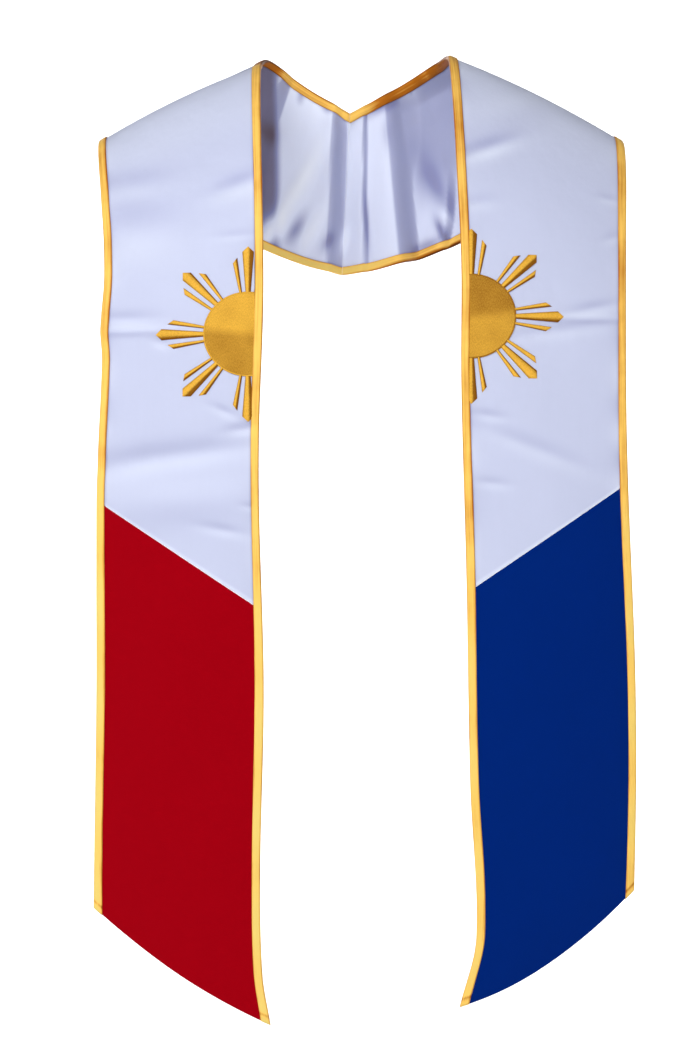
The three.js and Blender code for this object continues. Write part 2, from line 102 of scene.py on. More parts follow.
# How far an edge swings outward at a share of its fall, as (fall, share of the strip's width)
SWAY = {
    "right": {
        "inner": ((0, 0), (0.24, -0.04), (0.4, -0.013), (0.48, -0.014), (0.66, -0.042),
                  (0.85, -0.02), (0.95, -0.035), (1, -0.085)),
        "outer": ((0, 0.038), (0.09, -0.018), (0.19, -0.052), (0.26, -0.033), (0.3, -0.044),
                  (0.46, -0.013), (0.72, -0.01), (1, 0.008)),
    },
    "left": {
        "inner": ((0, 0), (0.13, 0.027), (0.24, 0.052), (0.36, 0.052), (0.56, 0.083),
                  (0.77, 0.106), (0.93, 0.142), (1, 0.04)),
        "outer": ((0, 0.12), (0.15, 0.082), (0.3, 0.07), (0.45, 0.08), (0.7, 0.124),
                  (0.85, 0.133), (1, 0.12)),
    },
}

# Folds of the back, as lines that fan out from the V: the place round the back at the neckline, from 0 at
# the centre seam to 1 or -1 at a shoulder line, and the line's height towards the wearer in millimetres,
# then both at the hem. Heights run smoothly from each line to the next.
YOKE_LINES = (
    (-1.01, 0, -1.01, 0), (-0.8, 12, -0.45, 16), (-0.44, 16, -0.26, 24),
    (-0.33, 2, -0.203, 0), (-0.15, 2, -0.14, 2), (-0.072, 3.8, -0.095, 1),
    (-0.043, 6, -0.031, 3.5), (-0.001, -8, -0.001, -9.5), (0.027, -3.5, 0.042, -2),
    (0.037, -6, 0.047, -4.5), (0.111, 1, 0.118, 4.5), (0.21, -11, 0.167, -14),
    (0.396, -22, 0.223, -7.5), (0.505, -26, 0.24, -11), (0.616, -30, 0.276, -5.5),
    (0.7, -32, 0.322, -9.5), (0.94, -4, 0.5, 0), (1.01, 0, 1.01, 0),
)

# Creases across the folds of the back: place in millimetres across and down, turn from level in degrees,
# half length and half breadth in millimetres, and depth. A crest towards the wearer has a depth below 0.
# The depth also paints shade on the inner face: darker in grooves, a painted highlight on crests.
BACK_CREASES = (
    (-53, 97, 59, 41, 7.2, -0.8), (-54, 131, 56, 16, 5.9, 0.8), (-38, 130, 62, 20, 6.3, -0.5),
    (-25, 142, 62, 9, 4.5, 0.6), (-10, 141, 75, 13, 4.5, -0.4), (11, 124, -84, 29, 2.7, 0.45),
    (78, 97, -62, 23, 9, 0.55), (79, 131, -66, 12, 3.6, 1.1), (84, 119, -60, 8, 3.6, -0.4),
    (66, 143, 22, 14, 4.5, 0.65), (63, 67, -60, 23, 12.6, 0.15), (24, 25, 25, 13, 4.5, 0.8),
    (28, 47, -85, 13, 3.6, 0.3), (-76, 48, 0, 10, 9, 0.35), (-79, 135, 59, 18, 9, -2.0),
)
BACK_CREASE_DEPTH = 3 * MM

# Painted shadows of short pleats that the neckline's stitching would draw in, with no pleats in the cloth's
# form:
# place round the back, and share of the way down
PAINTED_PLEAT_SHADOWS = ((-0.62, 0.16), (-0.24, 0.14), (0.17, 0.2), (0.3, 0.12), (0.62, 0.15), (-0.07, 0.1))
PLEAT_BREADTH = 2.2 * MM

# Painted shade of the white cloth, stored on its mesh; the ones named LIGHT are painted light
FLANK_SHADE = 0.72
OUTER_FLANK_SHADE = 0.5
SIDE_SHADE = 1.6
CORNER_SHADE = 0.72
PLEAT_SHADE = 0.7
CENTRE_SHADE = 0.15
FRONT_SHADE = 0.5
SLOPE_SHADE = 0.6
PUCKER_SHADE = 0.16
SHOULDER_LIGHT = 0.2
SHOULDER_LINE_SHADE = 0.45
SEAM_LIGHT = 0.25
LIP_SHADE = 0.3

# Painted shade of the tape, stored on its mesh; the ones named LIGHT lighten it instead
TURNED_TAPE_SHADE = 1.2
HEM_LIGHT = 0.3
HEM_SHADE = 0.45
HEM_FOLD_SHADE = 1.6
LOWER_TAPE_LIGHT = 0.4
END_CREASE_SHADE = 0.9

# Creases of the fronts: share across from the inner edge, share of the strip's width below the neck
# points, turn from level in degrees, half length and half breadth, and forward rise
FRONT_FOLDS = {
    "right": (
        (0.8, 0.84, -4, 0.22, 0.08, -1), (0.85, 1.12, 0, 0.35, 0.17, -2.2),
        (0.13, 0.86, -20, 0.18, 0.06, -1.3), (0.5, 0.62, -25, 0.5, 0.14, 0.4),
        (0.17, 1.18, -3, 0.12, 0.025, -0.25), (0.85, 1.68, 0, 0.2, 0.04, -0.45),
        (0.82, 1.757, 0, 0.28, 0.025, 0.35), (0.62, 1.83, 16, 0.06, 0.03, -0.3),
        (0.07, 2.35, -10, 0.14, 0.035, -0.6), (0.4, 2.5, -7, 0.35, 0.07, -0.75),
        (0.8, 2.56, -12, 0.25, 0.08, -0.7), (0.22, 2.25, 22, 0.1, 0.028, -0.35),
        (0.5, 2.8, -4, 0.5, 0.12, 0.7), (0.23, 2.97, 10, 0.15, 0.03, -0.35),
        (0.06, 2.83, 8, 0.06, 0.02, -0.25), (0.6, 3.5, 12, 0.6, 0.25, 0.35),
        (0.4, 4.6, -10, 0.6, 0.3, -0.35),
    ),
    "left": (
        (0.19, 0.68, 22, 0.18, 0.05, -1.3), (0.35, 0.42, 28, 0.3, 0.1, 0.5),
        (0.89, 0.98, -10, 0.07, 0.025, -0.3), (0.12, 1.03, 6, 0.1, 0.04, -0.4),
        (0.91, 1.23, 20, 0.06, 0.03, -0.3), (0.8, 1.67, 11, 0.15, 0.035, -0.5),
        (0.75, 1.735, 0, 0.3, 0.022, 0.3), (0.6, 1.81, 8, 0.3, 0.04, -0.35),
        (0.16, 2.33, -8, 0.1, 0.03, -0.35), (0.44, 2.53, -22, 0.33, 0.05, -0.5),
        (0.17, 2.74, -6, 0.1, 0.03, -0.3), (0.4, 3.6, -10, 0.6, 0.25, 0.35),
        (0.6, 4.7, 12, 0.6, 0.3, -0.35),
    ),
}

# Embroidery, as shares of the sun's radius
SUN_STRETCH = 1.06
SUN_CLUSTERS = 8
CLUSTER_SPREAD = math.radians(9.5)
MIDDLE_RAY = dict(reach=2.07, root_half=0.055, end_half=0.13)
SIDE_RAY = dict(reach=1.82, root_half=0.03, end_half=0.06)
RAY_ROOT = 0.95
SUN_BORDER = 1.3 * MM
STITCH_ROOT = 0.2 * MM  # how far the stitches reach into the cloth
UNDER_LIP = 0.6 * MM  # how far the embroidery runs under the binding's lip

# Finishes: pitches of the weave and the thread, how rough and how shiny, and the factors for the deepest
# painted shade and the painted highlight on crests
SATIN_RIB = 0.5 * MM
TAPE_RIB = 0.5 * MM
THREAD_TWIST = 0.7 * MM
WHITE_FINISH = dict(rough=0.52, shine=0.4, lustre=0.02, wrinkle=0.3)
DYED_FINISH = dict(rough=0.6, shine=0.25, lustre=0.0, wrinkle=0.15)
GOLD_SHINE = 0.35
# How much darker the satin's random mottling gets, and the dyed satins' painted shade colour
DULL_AND_SHADE = 0.94
DEEPEST_SHADE = (0.4, 0.25, 0.165)
PAINTED_CREST_HIGHLIGHT = (0.9, 0.94, 1.0)

# The studio: a round floor that curves up into a low wall, and lights as place, target, size and power
FLOOR_HEIGHT = -0.98
FLOOR_RADII = (1.1, 2.2)
COVE_BEND = 1.4
COVE_WALL = 1.2
COVE_SIDES = 96
CHEST = (0.0, 0.0, -0.35)
LIGHTS = {
    "key_light": ((-1.3, -2.5, 0.9), CHEST, (1.6, 1.6), 52.0),
    "fill_light": ((0.6, -2.9, 0.2), CHEST, (1.4, 1.4), 22.0),
    "backdrop_light": ((0.0, 0.9, 0.95), (0.0, 3.2, -0.5), (3.0, 0.8), 130.0),
}
AIR_COLOUR = (0.95, 0.97, 1.0, 1)
AIR_STRENGTH = 0.12

# The camera stands level in front of the stole
CAMERA_PLACE = (-3.9 * MM, -1757 * MM, -397.5 * MM)
CAMERA_LENS_PX = 2044
PHOTO_HEIGHT_PX = 1050
SENSOR_HEIGHT_MM = 36


def mix(a, b, share):
    return a + (b - a) * share


def smooth_step(low, high, x):
    share = np.clip((x - low) / (high - low), 0, 1)
    return share * share * (3 - 2 * share)


def creases_at(rows, across, down):
    """The heights of a table's soft creases, added up at places across and down."""
    total = 0.0
    for at_across, at_down, turn, long, broad, height in rows:
        turn = math.radians(turn)
        dx, dz = across - at_across, at_down - down
        along = (dx * math.cos(turn) + dz * math.sin(turn)) / long
        off = (dz * math.cos(turn) - dx * math.sin(turn)) / broad
        total = total + height * np.exp(-along * along - off * off)
    return total


def sway_at(rows, fall):
    """A smooth line through the rows of a sway table, at shares of the fall."""
    falls, sways = np.array(rows, float).T
    i = np.clip(np.searchsorted(falls, fall, side="right") - 1, 0, len(falls) - 2)
    before = np.maximum(i - 1, 0)
    after = np.minimum(i + 2, len(falls) - 1)
    span = falls[i + 1] - falls[i]
    slope_in = (sways[i + 1] - sways[before]) / (falls[i + 1] - falls[before])
    slope_out = (sways[after] - sways[i]) / (falls[after] - falls[i])
    u = np.clip((fall - falls[i]) / span, 0, 1)
    straight = mix(sways[i], sways[i + 1], u * u * (3 - 2 * u))
    return straight + u * (1 - u) * span * ((1 - u) * slope_in - u * slope_out)


class Half:
    """One half of the stole: places on the middle of its cloth, as a function of two shares.

    A place runs from -1 at the centre back seam, over the shoulder line at 0, to the slanting seam at 1
    and the hanging end at 2. w runs from the inner edge at 0 to the outer edge at 1.
    """

    def __init__(self, side, sizes):
        self.side = side
        self.sizes = sizes
        facts = SIDES[side]
        self.sign = facts["sign"]
        self.facts = facts
        self.width = sizes.strip_width
        self.neck = sizes.neck_width / 2
        self.outer_reach = self.neck + self.width * (1 + SWAY[side]["outer"][0][1])
        self.tops = {"inner": facts["rise"], "outer": -self.width * math.tan(SHOULDER_SLOPE)}

    def yoke_height(self, around, w):
        """How far the folds of the back rise towards the wearer."""
        relief = 0 * around * w
        grown = smooth_step(0.25, 0.9, w)
        lines = [(mix(top, hem, w), mix(rise, fall, grown)) for top, rise, hem, fall in YOKE_LINES]
        spans = [high[0] - low[0] for low, high in zip(lines, lines[1:])]
        slopes = [(high[1] - low[1]) / span for low, high, span in zip(lines, lines[1:], spans)]
        bends = [0 * relief]
        for before, after in zip(slopes, slopes[1:]):
            same_way = before * after > 0
            bends.append(np.where(same_way, 2 * before * after / np.where(same_way, before + after, 1), 0))
        bends.append(0 * relief)
        for k, (low, high) in enumerate(zip(lines, lines[1:])):
            t = np.clip((around - low[0]) / spans[k], 0, 1)
            s = 1 - t
            height = low[1] * s * s * (1 + 2 * t) + high[1] * t * t * (1 + 2 * s)
            height = height + spans[k] * t * s * (bends[k] * s - bends[k + 1] * t)
            relief = np.where((around >= low[0]) & (around < high[0]), height, relief)
        return relief * MM * (0.35 + 0.65 * smooth_step(0, 0.15, w))

    def back_shade(self, place, w, spot, inner):
        """Painted shade of the back: the far flanks of its folds and painted pleat shadows, and on the inner
        face, where inner is 1, its creases, darker in grooves and lighter on crests, its right side, its left
        corner and its centre.
        """
        around = self.sign * (1 + np.minimum(place, 0))
        step = 0.009
        reach = mix(self.neck, self.neck + self.width * 0.5, w)
        rise = self.yoke_height(around + step, w) - self.yoke_height(around - step, w)
        flank = smooth_step(-0.12, 0.9, -rise / (2 * step * reach))
        across = spot[..., 0] / self.neck
        side = SIDE_SHADE * smooth_step(-0.8, -0.93, across)
        corner = CORNER_SHADE * smooth_step(0.5, 0.8, across) * (1 - 0.75 * smooth_step(0.5, 0.8, w))
        pleats = 0 * w
        for middle, depth in PAINTED_PLEAT_SHADOWS:
            off = (around - middle * (1 - 0.4 * w)) * reach / PLEAT_BREADTH
            pleats = np.maximum(pleats, np.exp(-off * off) * smooth_step(depth, 0.05, w))
        centre = CENTRE_SHADE * smooth_step(-0.12, -0.04, around) * smooth_step(0.4, 0.2, around)
        folds = np.maximum.reduce([FLANK_SHADE * flank, side, corner, PLEAT_SHADE * pleats, centre])
        folds = folds + creases_at(BACK_CREASES, spot[..., 0] / MM, -spot[..., 2] / MM)
        return mix(np.maximum(OUTER_FLANK_SHADE * flank, PLEAT_SHADE * pleats), folds, inner)

    def front_shade(self, place, w, spot):
        """Painted shade of the front: an even base, the undersides of its creases and its puckers, lighter
        near the shoulders with a dark line along the shoulder line, and a painted light line at the slanting
        seam.
        """
        z = spot[..., 2]
        step = 1.5 * MM
        slope = (self.front_relief(w, z + step) - self.front_relief(w, z - step)) / (2 * step)
        shade = FRONT_SHADE + SLOPE_SHADE * slope * smooth_step(0, 0.2, place)
        shade = shade + PUCKER_SHADE * self.pucker(z, w)
        shade = shade - SHOULDER_LIGHT * smooth_step(0.5, 0.1, place)
        shade = shade + SHOULDER_LINE_SHADE * smooth_step(0.085, 0.06, place)
        shade = shade - SEAM_LIGHT * smooth_step(0.004, 0.002, 1 - place) * (place < 1)
        return np.maximum(shade, 0)

    def hollow(self, place, w, inner):
        """How deep in painted shade the cloth lies, with a painted shadow beside the bindings' lips. It is
        below 0 on crests, which get a painted highlight.
        """
        place, w = np.broadcast_arrays(np.asarray(place, float), np.asarray(w, float))
        spot = self.point(place, w)
        behind = smooth_step(0.02, 0.12, -place)
        shade = mix(self.front_shade(place, w, spot), self.back_shade(place, w, spot, inner), behind)
        from_lip = np.minimum(w, 1 - w) * self.width - self.sizes.binding_width
        return shade + LIP_SHADE * smooth_step(1.8 * MM, 0.3 * MM, from_lip)

    def front_relief(self, w, z):
        down = -(z + self.facts["hang"] * 0.5) / self.width
        return FRONT_FOLD_DEPTH * creases_at(FRONT_FOLDS[self.side], w, down)

    def pucker(self, run, w):
        """Small waves that the stitching draws into the cloth beside its bindings, from -1 to 1."""
        from_edge = np.minimum(w, 1 - w) * self.width - self.sizes.binding_width
        near = np.exp(-np.maximum(from_edge, 0) / (5 * MM)) * smooth_step(-3 * MM, 0, from_edge)
        edge = np.where(w < 0.5, 0.0, 2.1)
        beat = run / (9 * MM) + 1.7 * np.sin(run / (41 * MM) + edge) + edge
        swing = 0.6 + 0.4 * np.sin(run / (57 * MM) + 3 * edge + self.sign)
        return near * np.sin(beat) * swing

    def ripple(self, run, w):
        """The puckers beside the bindings and the cloth's slack between them."""
        slack = np.sin(run / (38 * MM) + 5 * w + self.sign)
        slack = slack + 0.5 * np.sin(run / (17 * MM) - 9 * w + 2 * self.sign)
        return PUCKER_DEPTH * self.pucker(run, w) + SLACK_DEPTH * slack * np.sin(math.pi * w)

    def back_point(self, turn, w):
        neck_power, hem_power = 2 / NECKLINE_SQUARENESS, 2 / HEM_SQUARENESS
        cosine, sine = np.maximum(np.cos(turn), 0), np.sin(turn)
        neck_x, neck_y = cosine**neck_power, sine**neck_power
        hem_x, hem_y = cosine**hem_power, sine**hem_power
        inward = 1 - neck_x
        hump = neck_y * neck_x**3
        seam = self.sign * CENTRE_GAP / 2
        facts = self.facts
        inner_x = mix(V_SHIFT + seam, self.sign * self.neck, neck_x)
        inner_z = mix(self.tops["inner"], -V_DROP, inward ** facts["neck_sag"]) + facts["neck_hump"] * hump
        outer_x = mix(HEM_SHIFT + seam, self.sign * self.outer_reach, hem_x)
        outer_z = mix(-V_DROP - YOKE_HEIGHT, self.tops["outer"], hem_x ** facts["hem_rounding"])
        around = self.sign * (1 - turn / QUARTER)
        level = sine**2
        run = (1 - turn / QUARTER) * BACK_RUN
        swell = (BACK_BULGE * np.sin(math.pi * w) + self.ripple(run, w)) * level
        swell = swell - self.yoke_height(around, w) * smooth_step(0, 0.35, turn / QUARTER)
        bow = SHOULDER_BOW * 4 * w * (1 - w)
        x = mix(inner_x, outer_x, w)
        z = mix(inner_z, outer_z, w) + bow * (1 - level)
        swell = swell + BACK_CREASE_DEPTH * creases_at(BACK_CREASES, x / MM, -z / MM) * level
        return np.stack([x, mix(NECK_DEPTH * neck_y, BACK_DEPTH * hem_y, w) + swell, z], axis=-1)

    def front_point(self, reach, w):
        white = np.minimum(reach, 1) ** 2
        colour = np.maximum(reach - 1, 0)
        falls, swings = [], []
        for edge, top in self.tops.items():
            seam_drop, tip_drop = (top + drop + self.facts["hang"] for drop in DROPS[edge])
            falls.append(mix(seam_drop * white, tip_drop, colour))
            swings.append(self.width * sway_at(SWAY[self.side][edge], falls[-1] / tip_drop))
        fall = mix(*falls, w)
        rounding = np.maximum(1 - fall / CHEST_DROP, 0)
        bow = SHOULDER_BOW * 4 * w * (1 - w)
        tip_bow = self.facts["tip_bow"] * 4 * w * (1 - w) * colour
        z = mix(*self.tops.values(), w) + bow * rounding**2 - fall - tip_bow
        depth = CHEST_DEPTH * (1 - CHEST_TURN * w * w)
        curl = TIP_CURL * (np.maximum(colour - CURL_FROM, 0) / (1 - CURL_FROM)) ** 2 * (1 - w) ** 2
        swell = (self.front_relief(w, z) + self.ripple(-fall, w)) * (1 - rounding) + curl
        x = self.sign * mix(self.neck + swings[0], self.neck + self.width + swings[1], w)
        y = -depth * np.sqrt(np.maximum(1 - rounding**2, 0)) - swell
        return np.stack([x, y, z], axis=-1)

    def point(self, place, w):
        place, w = np.broadcast_arrays(np.asarray(place, float), np.asarray(w, float))
        back = self.back_point(np.clip(-place, 0, 1) * QUARTER, w)
        front = self.front_point(np.maximum(place, 0), w)
        return np.where((place < 0)[..., None], back, front)

    def outward(self, place, w):
        """The direction that faces away from the wearer."""
        place, w = np.broadcast_arrays(np.asarray(place, float), np.asarray(w, float))
        step = 1e-3
        along = self.point(np.minimum(place + step, 2), w) - self.point(np.maximum(place - step, -1), w)
        across = self.point(place, np.minimum(w + step, 1)) - self.point(place, np.maximum(w - step, 0))
        normal = np.cross(along, across) * self.sign
        normal[..., 0] = np.where(place <= -1, 0, normal[..., 0])
        return normal / np.linalg.norm(normal, axis=-1, keepdims=True)

    def lifted(self, place, w, height):
        return self.point(place, w) + self.outward(place, w) * np.asarray(height)[..., None]

    def run_of(self, places, w=0.5):
        """Lengths along the strip, from the first of the places."""
        steps = np.linalg.norm(np.diff(self.point(places, w), axis=0), axis=-1)
        return np.concatenate([[0], np.cumsum(steps)])

    def even_places(self, start, end, spacing):
        """Places between two ends, evenly spaced along the middle of the strip."""
        trial = np.linspace(start, end, 1500)
        run = self.run_of(trial)
        count = max(2, round(run[-1] / spacing))
        return np.interp(np.linspace(0, run[-1], count + 1), run, trial)


def mesh_object(name, points, faces, grain=None, hollow=None):
    """A mesh object with an optional grain map, in metres across and along the thread, and painted shade per
    point.
    """
    mesh = bpy.data.meshes.new(name)
    mesh.from_pydata(points.tolist(), [], faces.tolist() if hasattr(faces, "tolist") else faces)
    mesh.validate()
    mesh.update()
    if grain is not None:
        layer = mesh.uv_layers.new(name="grain")
        corners = np.zeros(len(mesh.loops), np.int64)
        mesh.loops.foreach_get("vertex_index", corners)
        layer.data.foreach_set("uv", grain[corners].astype(np.float32).ravel())
    # The painted shade: above 0 it darkens towards a shadow colour, below 0 it is a painted highlight
    if hollow is not None:
        shades = mesh.attributes.new("hollow", "FLOAT", "POINT")
        shades.data.foreach_set("value", hollow.astype(np.float32))
    mesh.polygons.foreach_set("use_smooth", [True] * len(mesh.polygons))
    piece = bpy.data.objects.new(name, mesh)
    bpy.context.scene.collection.objects.link(piece)
    return piece


def sweep(rows, caps=True, flip=False):
    """Faces that join rows of closed rings, (row, corner, xyz), and close the two ends with strips."""
    count = rows.shape[1]
    i = np.arange(count)
    j = (i + 1) % count
    starts = np.arange(rows.shape[0] - 1)[:, None] * count
    quads = np.stack([starts + i, starts + j, starts + j + count, starts + i + count], axis=-1).reshape(-1, 4)
    if caps:
        half = count // 2
        k = np.arange(half - 1)
        last = (rows.shape[0] - 1) * count
        first_cap = np.stack([k, count - 1 - k, count - 2 - k, k + 1], axis=-1)
        quads = np.concatenate([quads, first_cap, last + first_cap[:, ::-1]])
    return quads[:, ::-1] if flip else quads


def finish_piece(piece, node, material):
    piece.data.materials.append(material)
    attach(piece, "root")
    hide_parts(node)
    return piece


class Value:
    """A number that varies over a surface: the output socket of a shader node, with arithmetic."""

    def __init__(self, finish, socket):
        self.finish = finish
        self.socket = socket

    def _math(self, operation, *values):
        return self.finish.add("Math", {"operation": operation}, values)

    def __add__(self, other):
        return self._math("ADD", self, other)

    __radd__ = __add__

    def __sub__(self, other):
        return self._math("SUBTRACT", self, other)

    def __rsub__(self, other):
        return self._math("SUBTRACT", other, self)

    def __mul__(self, other):
        return self._math("MULTIPLY", self, other)

    __rmul__ = __mul__

    def __truediv__(self, other):
        return self._math("DIVIDE", self, other)

    def __rtruediv__(self, other):
        return self._math("DIVIDE", other, self)

    def __neg__(self):
        return self._math("MULTIPLY", self, -1.0)

    def sine(self):
        return self._math("SINE", self)

    def floor(self):
        return self._math("FLOOR", self)

    def clamp(self, low=0.0, high=1.0):
        return self._math("MINIMUM", self._math("MAXIMUM", self, low), high)


class Finish:
    """A material under construction."""

    def __init__(self, name):
        self.material = bpy.data.materials.new(name)
        self.material.use_nodes = True
        self.tree = self.material.node_tree
        self.tree.nodes.clear()

    def grain(self):
        """The grain map, and its distances across and along the thread in metres."""
        both = self.add("UVMap", {"uv_map": "grain"})
        across = self.add("SeparateXYZ", None, [both])
        return both, across, Value(self, across.socket.node.outputs[1])

    def hollow(self):
        # Reads the painted shade and painted highlights stored on the mesh
        return self.add("Attribute", {"attribute_name": "hollow"}, output=2)

    def place(self):
        return self.add("TexCoord", None, output=3)

    def add(self, kind, settings=None, values=(), output=0):
        """One node: its type, its settings and then the values or links of its sockets."""
        node = self.tree.nodes.new("ShaderNode" + kind)
        for key, setting in (settings or {}).items():
            setattr(node, key, setting)
        pairs = values.items() if isinstance(values, dict) else enumerate(values)
        for key, value in pairs:
            socket = node.inputs[key]
            if isinstance(value, Value):
                self.tree.links.new(value.socket, socket)
            else:
                socket.default_value = value
        return Value(self, node.outputs[output]) if node.outputs else None

    def noise(self, where, scale, detail=2.0, roughness=0.5):
        values = {"Vector": where, "Scale": scale, "Detail": detail, "Roughness": roughness}
        return self.add("TexNoise", {"noise_dimensions": "3D"}, values)

    def drawn_noise(self, where, scale, detail, turn=0.0):
        """Noise drawn out into streaks, by a scale for each direction."""
        values = {"Vector": where, "Rotation": (0, 0, turn), "Scale": scale}
        return self.noise(self.add("Mapping", None, values), 1.0, detail)

    def tint(self, factor, a, b):
        """A colour between a and b."""
        settings = {"data_type": "RGBA", "blend_type": "MIX"}
        return self.add("Mix", settings, {0: factor, 6: a, 7: b}, output=2)

    def done(self, colour, roughness, bumps, **constants):
        """Joins it all to one principled shader; bumps are (height, strength, distance)."""
        normal = None
        for height, strength, distance in bumps:
            values = {"Strength": strength, "Distance": distance, "Height": height}
            if normal is not None:
                values["Normal"] = normal
            normal = self.add("Bump", None, values)
        values = {"Base Color": colour, "Roughness": roughness}
        if normal is not None:
            values["Normal"] = normal
        values.update(constants)
        shader = self.add("BsdfPrincipled", None, values)
        self.add("OutputMaterial", None, {"Surface": shader})
        return self.material


def rgba(colour, factor=(1.0, 1.0, 1.0)):
    """A colour, darkened or lightened in its red, green and blue by a factor for each."""
    return (*(part * share for part, share in zip(colour, factor)), 1.0)


def satin(name, colour, shadow, rough, shine, lustre, wrinkle):
    """Woven satin: long floating threads along the cloth, soft mottling and small wrinkles, with painted
    shade and painted highlights from the mesh.
    """
    finish = Finish(name)
    _, across, along = finish.grain()
    place = finish.place()
    threads = (across * (FULL_TURN / SATIN_RIB)).sine()
    picks = (along * (FULL_TURN / (SATIN_RIB * 1.35)) + (across * (2.5 / SATIN_RIB)).floor() * 1.9).sine()
    weave = threads * 0.6 + picks * 0.4
    soft = finish.noise(place, 38.0, 3.0, 0.45)
    slub = finish.drawn_noise(place, (260.0, 260.0, 22.0), 2.0)
    mottle = finish.noise(place, 14.0, 2.0, 0.5)
    # Tone that varies at random over the satin
    shade = (mottle * 0.7 + slub * 0.3 - 0.5) * 1.4 + 0.5
    tint = finish.tint(shade.clamp(), rgba(colour, [DULL_AND_SHADE] * 3), rgba(colour))
    # Painted shade darkens towards the shadow colour, deeper past 1, and a painted highlight lightens crests
    # below 0
    hollow = finish.hollow()
    tint = finish.tint(hollow.clamp(), tint, rgba(shadow))
    tint = finish.tint((hollow - 1).clamp(), tint, rgba(shadow, DEEPEST_SHADE))
    tint = finish.tint((-hollow).clamp(), tint, rgba(PAINTED_CREST_HIGHLIGHT))
    roughness = rough + (slub - 0.5) * 0.12 + (soft - 0.5) * 0.08
    bumps = [(soft, wrinkle, 0.0035), (slub, 0.12, 0.0004), (weave, 0.22, 0.00006)]
    gleam = {"Specular IOR Level": shine, "Specular Tint": rgba(colour, [1 / max(colour)] * 3)}
    return finish.done(tint, roughness, bumps, **gleam, Metallic=lustre)


def tape_satin(colours):
    """Golden satin tape: bright along its floats, with duller, browner patches at random and painted shade
    where it turns.
    """
    finish = Finish("gold_satin_tape")
    grain, _, along = finish.grain()
    patches = finish.noise(finish.place(), 30.0, 3.0, 0.6)
    streaks = finish.drawn_noise(grain, (800.0, 14.0, 1.0), 2.0)
    hollow = finish.hollow()
    # Random patches and streaks, less the painted shade stored on the mesh
    shade = ((patches - 0.5) * 0.9 + (streaks - 0.5) * 1.3 + 0.95 - hollow).clamp()
    tint = finish.tint(shade, rgba(colours.tape_shadow), rgba(colours.tape))
    # Past 1 a deeper painted shadow; below 0 it turns paler and yellower
    tint = finish.tint((hollow - 1).clamp(), tint, rgba(colours.tape_shadow, (0.25, 0.2, 0.3)))
    tint = finish.tint((-hollow).clamp(), tint, rgba(colours.tape, (0.72, 1.2, 2.0)))
    ribs = (along * (FULL_TURN / TAPE_RIB)).sine()
    roughness = 0.36 + (streaks - 0.5) * 0.15
    bumps = [(patches, 0.25, 0.002), (streaks, 0.15, 0.0003), (ribs, 0.12, 0.00004)]
    gleam = {"Specular IOR Level": GOLD_SHINE, "Specular Tint": (1.0, 0.6, 0.2, 1.0)}
    return finish.done(tint, roughness, bumps, **gleam)


def thread_gold(colours):
    """Embroidery thread: rayon with a strong gloss, a little lighter and darker from stitch to stitch, and
    darker where shade is painted on the mesh.
    """
    finish = Finish("gold_thread")
    grain, _, along = finish.grain()
    stitches = finish.drawn_noise(grain, (1900.0, 700.0, 1.0), 1.0, 0.5)
    patches = finish.noise(finish.place(), 60.0, 2.0)
    shade = ((stitches - 0.5) * 0.8 + (patches - 0.5) * 0.4 + 1.0 - finish.hollow()).clamp()
    tint = finish.tint(shade, rgba(colours.thread_shadow), rgba(colours.thread))
    twist = (along * (FULL_TURN / THREAD_TWIST)).sine()
    bumps = [(twist, 0.2, 0.00005), (stitches, 0.25, 0.0001)]
    gleam = {"Specular IOR Level": GOLD_SHINE, "Specular Tint": (1.0, 0.6, 0.15, 1.0)}
    return finish.done(tint, 0.42 + (stitches - 0.5) * 0.2, bumps, **gleam)


def length(name, description, default, low, high):
    """A size that a user would change, in metres."""
    return FloatProperty(
        name=name, description=description, default=default, min=low, max=high, unit="LENGTH"
    )


def pick_colour(name, description, default):
    """A colour that a user would change."""
    return FloatVectorProperty(
        name=name, description=description, default=default, min=0, max=1, subtype="COLOR"
    )


class StoleSizes(bpy.types.PropertyGroup):
    """Sizes that a user would change."""

    neck_width: length("Neck width", "Between the inner edges, on top of the shoulders", 0.159, 0.1, 0.25)
    strip_width: length(
        "Strip width", "A hanging front from edge to edge, bindings included", 0.134, 0.08, 0.2
    )
    cloth_thickness: length(
        "Cloth thickness", "Both layers of satin and what is between them", 0.0014, 0.0005, 0.003
    )
    binding_width: length(
        "Binding width", "How far the folded tape reaches onto the cloth", 0.007, 0.004, 0.015
    )
    binding_wall: length("Binding wall", "Thickness of the folded tape on each face", 0.001, 0.0004, 0.002)
    sun_radius: length("Sun radius", "Radius of the embroidered disc", 0.0345, 0.02, 0.05)
    sun_raise: length("Sun raise", "Height of the embroidery above the cloth", 0.0012, 0.0004, 0.002)
    thread_pitch: length(
        "Thread pitch", "Distance from one embroidery thread to the next", 0.00045, 0.0003, 0.001
    )
    cloth_grid: length("Cloth grid", "Spacing of the cloth's mesh", 0.0019, 0.001, 0.01)


